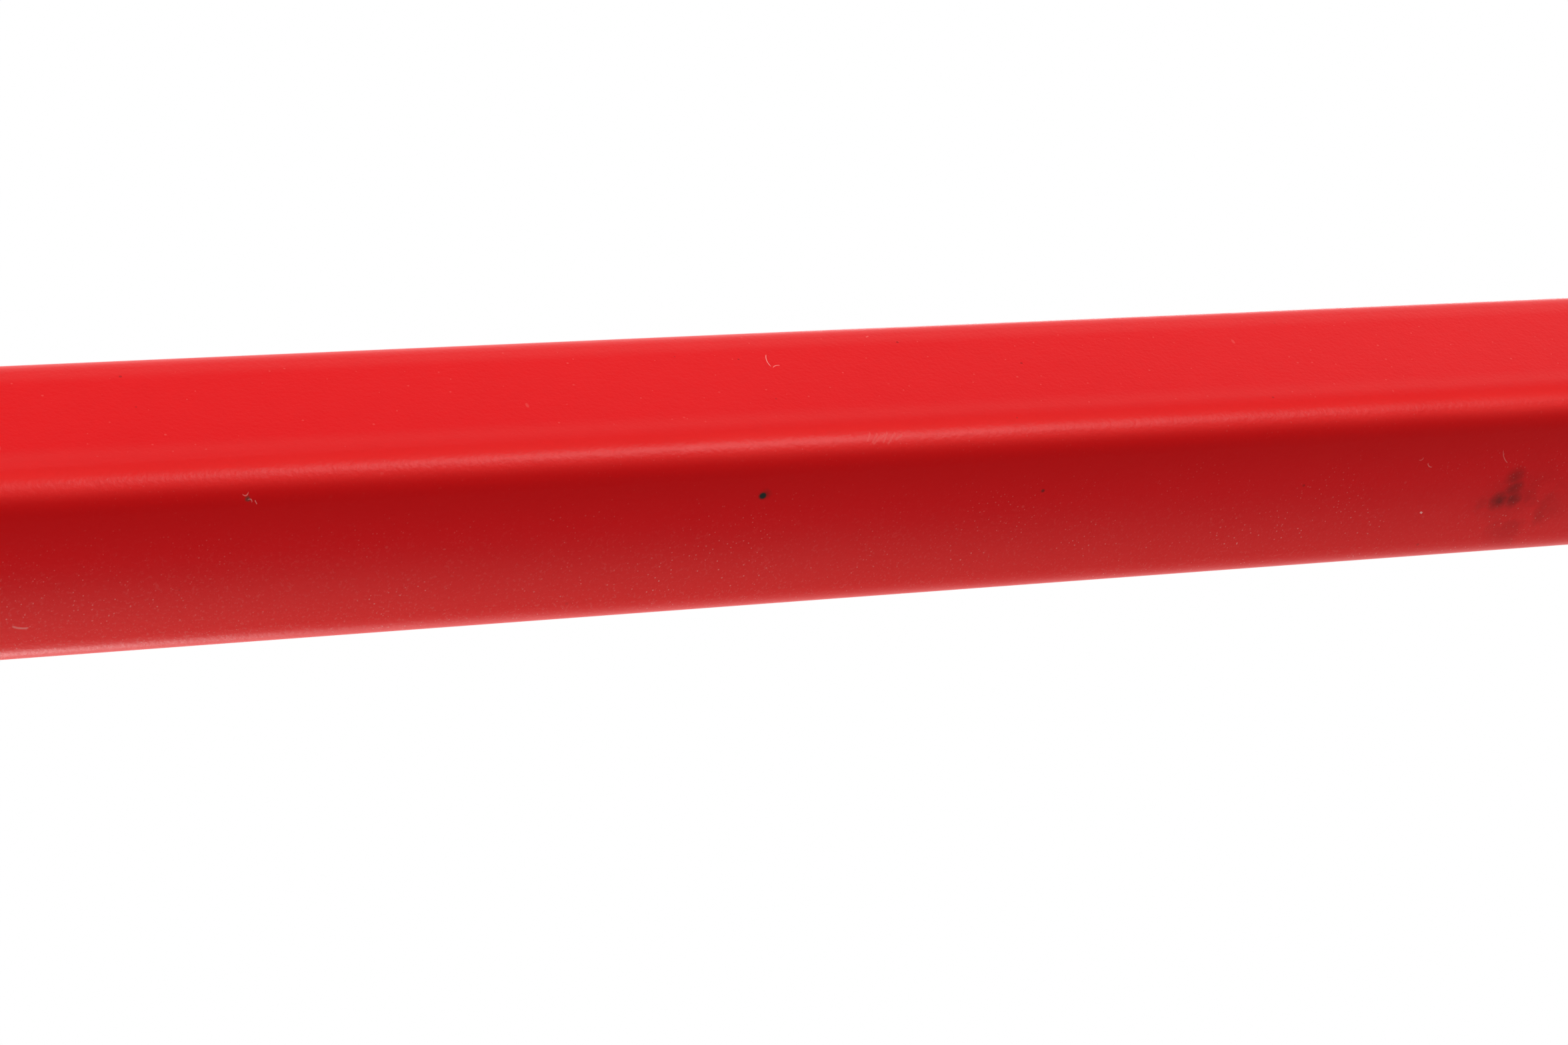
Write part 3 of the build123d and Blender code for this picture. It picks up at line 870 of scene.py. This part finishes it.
body_coat = RedCoat("body_coat", (0.37, 0.09, 0.23), 0.8)
splashes = body_coat.rise(body_coat.noise(0.009, body_coat.moved, 6.0, 0.6), 0.50, 0.66)
splashes = body_coat.fade(body_coat.along("Z"), 20 * MM, 160 * MM) * splashes
body_coat.layer(splashes * 0.20, MUD, 0.7)
body_coat.bare(body_coat.rise(body_coat.noise(0.013, body_coat.moved, 6.0, 0.6), 0.745, 0.755))
body_coat.bare(body_coat.fade(off_axis(body_coat), 36.2 * MM, 36.8 * MM))
body_coat.ends()

# %% [markdown]
# The mouth ring is muddy, and its lowest edge has lost its coat. The wear could follow a straight
# line, but a real edge is chipped: the closer to the edge, the more of the noise counts as a chip.

# %% Mouth ring coat
ring_coat = RedCoat("ring_coat", (0.05, 0.31, 0.17), 1.1)
ring_chips = ring_coat.noise(0.006, ring_coat.moved, 6.0, 0.62)
muddy = ring_coat.fade(ring_coat.along("Z"), 4 * MM, 30 * MM)
muddy = muddy * ring_coat.rise(ring_chips, 0.40, 0.62)
ring_coat.layer(muddy * 0.28, WET_MUD, 0.75)
edge_wear = ring_coat.fade(ring_coat.along("Z"), 0.0, 7.5 * MM)
ring_coat.bare(ring_coat.rise(edge_wear * 0.34 + ring_chips, 0.735, 0.755))
ring_coat.ends()

# %% [markdown]
# The head chips at its rim, where the tool is knocked and laid down, and a little in the middle.

# %% Head coat
head_coat = RedCoat("head_coat", (0.19, 0.41, 0.07), 1.0)
head_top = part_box("end_cap")[1].z
head_height = head_coat.along("Z")
rim = head_coat.rise(off_axis(head_coat), 37.5 * MM, 41.5 * MM)
rim = rim * head_coat.rise(head_height, head_top - 4.0 * MM, head_top - 0.5 * MM)
struck = head_coat.fade(off_axis(head_coat), 6 * MM, 34 * MM)
struck = struck * head_coat.rise(head_height, head_top - 0.3 * MM, head_top - 0.1 * MM)
head_chips = head_coat.noise(0.0065, head_coat.moved, 6.0, 0.62)
head_coat.bare(head_coat.rise(rim * 0.16 + struck * 0.05 + head_chips, 0.72, 0.735))
head_coat.ends()

# %% [markdown]
# Tightening a bolt turns its washer against the lug and bites the coat away round it. All four
# pairs of lugs share one coat, because distances are measured from the middle in both directions.

# %% Lug coat
lug_coat = RedCoat("lug_coat", (0.29, 0.03, 0.37), 1.0)
half_span = (leg_high - leg_low) / 2
from_middle = lug_coat.vector("SUBTRACT", lug_coat.at, (0, 0, grip_middle.z))
from_middle = lug_coat.vector("ABSOLUTE", from_middle)
from_bolt = lug_coat.vector("SUBTRACT", from_middle, (bolt_x, 0, half_span))
from_bolt = lug_coat.length(lug_coat.vector("MULTIPLY", from_bolt, (1, 0, 1)))
bitten = lug_coat.fade(from_bolt, WASHER_RADIUS, 9.6 * MM)
lug_chips = lug_coat.noise(0.004, lug_coat.moved, 6.0, 0.62)
lug_coat.bare(lug_coat.rise(bitten * 0.22 + lug_chips, 0.72, 0.74))
lug_coat.ends()

# %% [markdown]
# ## Bare metals and plastics
# The strike plate and the ram are plain mild steel, beaten dull and browned in patches. Rust is
# not a metal to light, so where the steel is brown its metal share goes down with it.

# %% Steel
beaten_steel = Finish("beaten_steel", {"Specular IOR Level": 0.5})
worked = beaten_steel.noise(0.004, detail=4.0)
browned = beaten_steel.rise(beaten_steel.noise(0.011, detail=5.0), 0.50, 0.66)
clean_steel = beaten_steel.paint(worked, (0.36, 0.34, 0.32, 1), (0.27, 0.25, 0.24, 1))
beaten_steel.feed("Base Color", beaten_steel.paint(browned, clean_steel, RUST))
beaten_steel.feed("Metallic", 1 - browned * 0.85)
beaten_steel.feed("Roughness", browned * 0.3 + worked * 0.2 + 0.36)
beaten_steel.relief(worked, 0.12 * MM)
print("steel has", len(beaten_steel.tree.nodes), "nodes")

# %% [markdown]
# The bolts, washers, nuts and sleeves are zinc plated: grey, bright, a little blue and yellow in
# patches, with a dull bloom where the plating has aged.

# %% Zinc plate
zinc = Finish("zinc_plate", {"Specular IOR Level": 0.5})
bath = zinc.noise(0.009, detail=2.0)
bloomed = zinc.rise(zinc.noise(0.0017, detail=4.0), 0.60, 0.70)
plated = zinc.paint(bath, (0.44, 0.46, 0.50, 1), (0.54, 0.51, 0.45, 1))
zinc.feed("Base Color", zinc.paint(bloomed * 0.5, plated, (0.62, 0.62, 0.60, 1)))
zinc.feed("Metallic", 1 - bloomed * 0.45)
zinc.feed("Roughness", bath * 0.14 + bloomed * 0.25 + 0.24)
zinc.relief(zinc.noise(0.0006, detail=3.0), 0.03 * MM)
print("zinc has", len(zinc.tree.nodes), "nodes")

# %% [markdown]
# The end plugs are black moulded plastic with a fine sandy skin and a little lint. The rings
# inside the lock nuts are natural nylon, milky and soft to light.

# %% Black plastic and nylon
plug_plastic = Finish("plug_plastic", {"Specular IOR Level": 0.4})
skin = plug_plastic.noise(0.0005, detail=2.0)
lint = dots(plug_plastic, plug_plastic.at, 0.0022, 0.00018, 0.5)
black = plug_plastic.paint(skin, (0.016, 0.016, 0.017, 1), (0.028, 0.028, 0.028, 1))
plug_plastic.feed("Base Color", plug_plastic.paint(lint * 0.5, black, (0.25, 0.24, 0.22, 1)))
plug_plastic.feed("Roughness", skin * 0.15 + 0.42)
plug_plastic.relief(skin, 0.06 * MM)

NYLON_CONSTANTS = {"Specular IOR Level": 0.4, "Subsurface Weight": 0.2, "Subsurface Scale": 0.001}
nylon = Finish("nut_nylon", NYLON_CONSTANTS)
milky = nylon.noise(0.002, detail=3.0)
nylon.feed("Base Color", nylon.paint(milky, (0.82, 0.82, 0.78, 1), (0.72, 0.71, 0.66, 1)))
nylon.feed("Roughness", milky * 0.15 + 0.38)
nylon.relief(milky, 0.03 * MM)
print("plastic has", len(plug_plastic.tree.nodes), "nodes and nylon", len(nylon.tree.nodes))

# %% [markdown]
# ### Finishes for the pieces that stay
# Turned and sawn pieces are as exact as the measured model, so their shape stays as it is and
# they only get a finish.

# %% Give the pieces that stay their finishes
kept = {
    "drive_tube": body_coat, "end_cap": head_coat, "mouth_ring": ring_coat,
    "ram_weight": beaten_steel, "strike_plate": beaten_steel,
    "handle_bolts": zinc, "bolt_washers": zinc, "lock_nuts": zinc, "crush_sleeves": zinc,
    "nut_inserts": nylon,
}
CORNERS = ("upper_right", "lower_right", "upper_left", "lower_left")
for corner in CORNERS:
    kept[f"{corner}_lugs"] = lug_coat
    kept[f"{corner}_end_plug"] = plug_plastic
for name, finish in kept.items():
    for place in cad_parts[name].material_slots:
        place.material = finish.material
print("pieces that keep their shape:", len(kept))

# %% [markdown]
# ## Weld beads
# A weld bead is laid down as a row of small puddles, each of which sets a little behind the
# one before, so that its top is a row of crescents. A smooth fillet looks like putty. A bead could
# be built from many squashed balls melted together, but it is cleaner to push one section along in
# short steps, bow the section backwards, and then lift some lines of points in each puddle.

# %% Section of a bead
CROWN_POINTS = 7
LINES = 5
PITCH = 1.9 * MM
LAG = 1.3 * MM
RIPPLE = 0.20 * MM
SHALLOW_TO_DEEP = (0.6, 1.0, 1.45)
LINE_HEIGHTS = ((1, 0.75), (2, 1.0), (3, 0.55))
BITE = 0.3 * MM
TOE_BITE = 0.05 * MM
lots = random.Random(11)
puddles = [lots.choice(SHALLOW_TO_DEEP) for _ in range(400)]


def bead_section(root, toe_a, toe_b, crown, travel):
    """The root of a bead, its two toes and the bowed crown between them."""
    middle, across = (toe_a + toe_b) / 2, toe_b - toe_a
    outward = (middle - root).normalized()
    points = [root, toe_a]
    for number in range(1, CROWN_POINTS + 1):
        along = 2 * number / (CROWN_POINTS + 1) - 1
        bow = 1 - along * along
        points.append(middle + across * (along / 2) + outward * (crown * bow) + travel * (LAG * bow))
    return points + [toe_b]


def lay_out(points):
    """Starts a piece as a ring of points and moves each one to its place."""
    start_clean()
    middle = sum(points, Vector()) / len(points)
    first_side = (points[1] - points[0]).length
    bpy.ops.mesh.primitive_circle_add(vertices=len(points), radius=first_side, location=middle)
    bpy.ops.object.transform_apply(location=True, rotation=True, scale=True)
    bpy.ops.object.mode_set(mode="EDIT")
    bpy.ops.mesh.select_mode(type="VERT")
    for index, place in enumerate(points):
        bpy.ops.mesh.select_all(action="DESELECT")
        shape = bmesh.from_edit_mesh(bpy.context.object.data)
        shape.verts.ensure_lookup_table()
        point = shape.verts[index]
        point.select_set(True)
        shape.select_flush(True)
        bmesh.update_edit_mesh(bpy.context.object.data)
        bpy.ops.transform.translate(value=place - point.co)
    bpy.ops.mesh.select_all(action="SELECT")


def raise_ripples(line_of, is_crown):
    """Lifts the crown's lines, each puddle by its own share. line_of numbers a point's line."""
    for share in SHALLOW_TO_DEEP:
        for step, height in LINE_HEIGHTS:

            def on_line(p):
                line = round(line_of(p))
                return is_crown(p) and line % LINES == step and puddles[line // LINES] == share

            pick("VERT", on_line)
            bpy.ops.transform.shrink_fatten(value=RIPPLE * height * share)


print("deepest puddles:", puddles.count(SHALLOW_TO_DEEP[-1]), "of", len(puddles))

# %% [markdown]
# ### Beads round the tube
# The cap and the mouth ring are each welded to the tube all the way round. The section is spun
# round the tube's axis once, in as many steps as fit a whole number of puddles.

# %% Beads round the tube
def ring_bead(name, node, corner_z, up, leg):
    """A bead round the tube, in the corner at corner_z, that stands up or hangs down from it."""
    radius = TUBE_RADIUS
    root = Vector((radius - BITE, 0, corner_z - up * BITE))
    on_tube = Vector((radius - TOE_BITE, 0, corner_z + up * leg))
    on_ring = Vector((radius + leg, 0, corner_z - up * TOE_BITE))
    lay_out(bead_section(root, on_tube, on_ring, 0.55 * MM, Vector((0, 1, 0))))
    count = round(math.tau * (radius + leg / 2) / PITCH)
    step = math.tau / (count * LINES)
    bpy.ops.mesh.spin(steps=count * LINES, angle=math.tau, center=(0, 0, corner_z), axis=(0, 0, 1))
    bpy.ops.mesh.select_all(action="SELECT")
    bpy.ops.mesh.remove_doubles(threshold=2e-6)
    bpy.ops.mesh.normals_make_consistent(inside=False)

    def bow_of(p):
        out, rise = math.hypot(p.x, p.y) - radius, up * (p.z - corner_z)
        return 1 - ((out - rise) / leg) ** 2

    def line_of(p):
        turn = math.atan2(p.y, p.x) - LAG * bow_of(p) / math.hypot(p.x, p.y)
        return (turn % math.tau) / step

    def is_crown(p):
        out, rise = math.hypot(p.x, p.y) - radius, up * (p.z - corner_z)
        return out + rise > leg * 0.9 and bow_of(p) > 0.1

    raise_ripples(line_of, is_crown)
    smooth(50)
    finish_piece(name, [node], weld_coat)


weld_coat = RedCoat("weld_coat", (0.11, 0.23, 0.31), 0.7)
weld_coat.ends()
cap_weld_low, cap_weld_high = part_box("cap_weld")
ring_weld_low, ring_weld_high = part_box("mouth_ring_weld")
cap_leg, ring_leg = cap_weld_high.z - cap_weld_low.z, ring_weld_high.z - ring_weld_low.z
ring_bead("cap_bead", "cap_weld", cap_weld_high.z, -1, cap_leg)
ring_bead("mouth_ring_bead", "mouth_ring_weld", ring_weld_low.z, 1, ring_leg)

# %% [markdown]
# ### Bead beside a lug
# Each lug is welded to the tube by one upright bead on its outer side. The section is pushed
# straight up, its ends are closed, and they are then drawn in to a rounded start and end.

# %% Bead beside a lug
LUG_LEG = 5.0 * MM
END_SHARES = (0.45, 0.68, 0.82, 0.91, 0.97)
face_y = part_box("upper_right_lugs")[0].y
bead_low, bead_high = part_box("upper_right_lug_welds")
meet_x = math.sqrt(TUBE_RADIUS**2 - face_y**2)
toe_turn = math.atan2(face_y, meet_x) - LUG_LEG / TUBE_RADIUS
root = Vector((meet_x - BITE, face_y + BITE, bead_low.z))
on_tube = Vector((math.cos(toe_turn), math.sin(toe_turn), 0)) * (TUBE_RADIUS - TOE_BITE)
on_tube.z = bead_low.z
on_lug = Vector((meet_x + LUG_LEG, face_y + TOE_BITE, bead_low.z))
lay_out(bead_section(root, on_tube, on_lug, 0.6 * MM, Vector((0, 0, 1))))

bead_lines = LINES * round((bead_high.z - bead_low.z - LAG) / PITCH)
line_step = (bead_high.z - bead_low.z - LAG) / bead_lines
for line in range(bead_lines):
    push(0, 0, line_step)
bpy.ops.mesh.select_non_manifold()
bpy.ops.mesh.fill(use_beauty=True)
bpy.ops.mesh.select_all(action="SELECT")
bpy.ops.mesh.normals_make_consistent(inside=False)
toes_middle, toes_across = (on_tube + on_lug) / 2, on_lug - on_tube


def lug_bow(p):
    along = (p - toes_middle).xy.dot(toes_across.xy) / toes_across.xy.length_squared * 2
    from_root = (p - root).xy.length
    return 0 if from_root < 0.05 * MM else max(0, 1 - along**2)


def lug_line(p):
    return (p.z - bead_low.z - LAG * lug_bow(p)) / line_step


raise_ripples(lug_line, lambda p: lug_bow(p) > 0.1)
for line, share in enumerate(END_SHARES):
    for end in (line, bead_lines - line):
        pick("VERT", lambda p: round(lug_line(p)) == end)
        bpy.ops.transform.resize(value=(share, share, 1), center_override=(root.x, root.y, bead_low.z))
smooth(50)
front_bead = bpy.context.object
print("bead beside a lug has", bead_lines // LINES, "puddles")

# %% [markdown]
# The other seven beads are copies of the first, each with its own mesh: mirrored to the back,
# moved down to the lower lugs, and mirrored to the left.

# %% Copy it to every lug
def copy_of(piece, shift=(0, 0, 0), mirrored=()):
    """A copy with its own mesh, mirrored across x or y and then moved."""
    select_only(piece)
    bpy.ops.object.duplicate(linked=False)
    edit_all()
    if mirrored:
        across = ("x" in mirrored, "y" in mirrored, False)
        bpy.ops.transform.mirror(constraint_axis=across, center_override=(0, 0, 0))
        bpy.ops.mesh.normals_make_consistent(inside=False)
    bpy.ops.transform.translate(value=shift)
    bpy.ops.object.mode_set(mode="OBJECT")
    return bpy.context.object


def join(pieces):
    """Makes several pieces one, which keeps the first one's name."""
    select_only(pieces[0])
    for piece in pieces[1:]:
        piece.select_set(True)
    bpy.ops.object.join()


join([front_bead, copy_of(front_bead, mirrored="y")])
pairs = {"upper_right": front_bead}
pairs["lower_right"] = copy_of(front_bead, (0, 0, leg_low - leg_high))
pairs["upper_left"] = copy_of(front_bead, mirrored="x")
pairs["lower_left"] = copy_of(pairs["lower_right"], mirrored="x")
for corner, pair in pairs.items():
    select_only(pair)
    finish_piece(f"{corner}_lug_beads", [f"{corner}_lug_welds"], weld_coat)

# %% [markdown]
# ## Plug welds
# The ram and the strike plate are held by plug welds: holes through the tube that are filled with
# weld metal. The welder ends each one with a small circle of the torch, which leaves rings that
# lean to one side. The button is a disc, inset again and again with every second ring raised, then
# bent to the tube, column of points by column of points.

# %% Model a row of plug welds
PLUG_TURNS = (60, 120, 240, 300)
PLUG_DEPTH = 0.4 * MM
RING_RISES = (0.42, -0.16, 0.26, -0.16, 0.24, -0.22)


def plug_row(name, node):
    """One button, modelled at the tube's right side, and its copies round the tube."""
    low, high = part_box(node)
    radius, middle_z = (high.z - low.z) / 2, (high.z + low.z) / 2
    start_clean()
    bpy.ops.mesh.primitive_circle_add(
        vertices=40,
        radius=radius,
        fill_type="NGON",
        location=(TUBE_RADIUS - PLUG_DEPTH, 0, middle_z),
        rotation=(0, math.pi / 2, 0),
    )
    bpy.ops.object.transform_apply(location=True, rotation=True, scale=True)
    button = bpy.context.object
    edit_all()
    push(PLUG_DEPTH, 0, 0)
    rings = 6 if radius > 5 * MM else 4
    inset = radius / (rings + 1)
    for rise in RING_RISES[:rings]:
        bpy.ops.mesh.inset(thickness=inset, depth=0)
        bpy.ops.transform.translate(value=(rise * MM, 0.02 * inset, -0.10 * inset))
    shape = bmesh.from_edit_mesh(button.data)
    columns = sorted({round(abs(v.co.y), 6) for v in shape.verts})
    for column in columns:
        pick("VERT", lambda p: round(abs(p.y), 6) == column)
        curve_back = math.sqrt(TUBE_RADIUS**2 - column**2) - TUBE_RADIUS
        bpy.ops.transform.translate(value=(curve_back, 0, 0))
    bpy.ops.mesh.select_all(action="SELECT")
    bpy.ops.mesh.normals_make_consistent(inside=False)
    smooth(60)
    row = []
    for turn in PLUG_TURNS:
        row.append(copy_of(button))
        edit_all()
        bpy.ops.transform.rotate(
            value=math.radians(turn), orient_axis="Z", center_override=(0, 0, middle_z)
        )
        bpy.ops.object.mode_set(mode="OBJECT")
    bpy.data.objects.remove(button)
    join(row)
    finish_piece(name, [node], weld_coat)


plug_row("ram_plug_buttons", "ram_plug_welds")
plug_row("strike_plug_buttons", "strike_plug_welds")
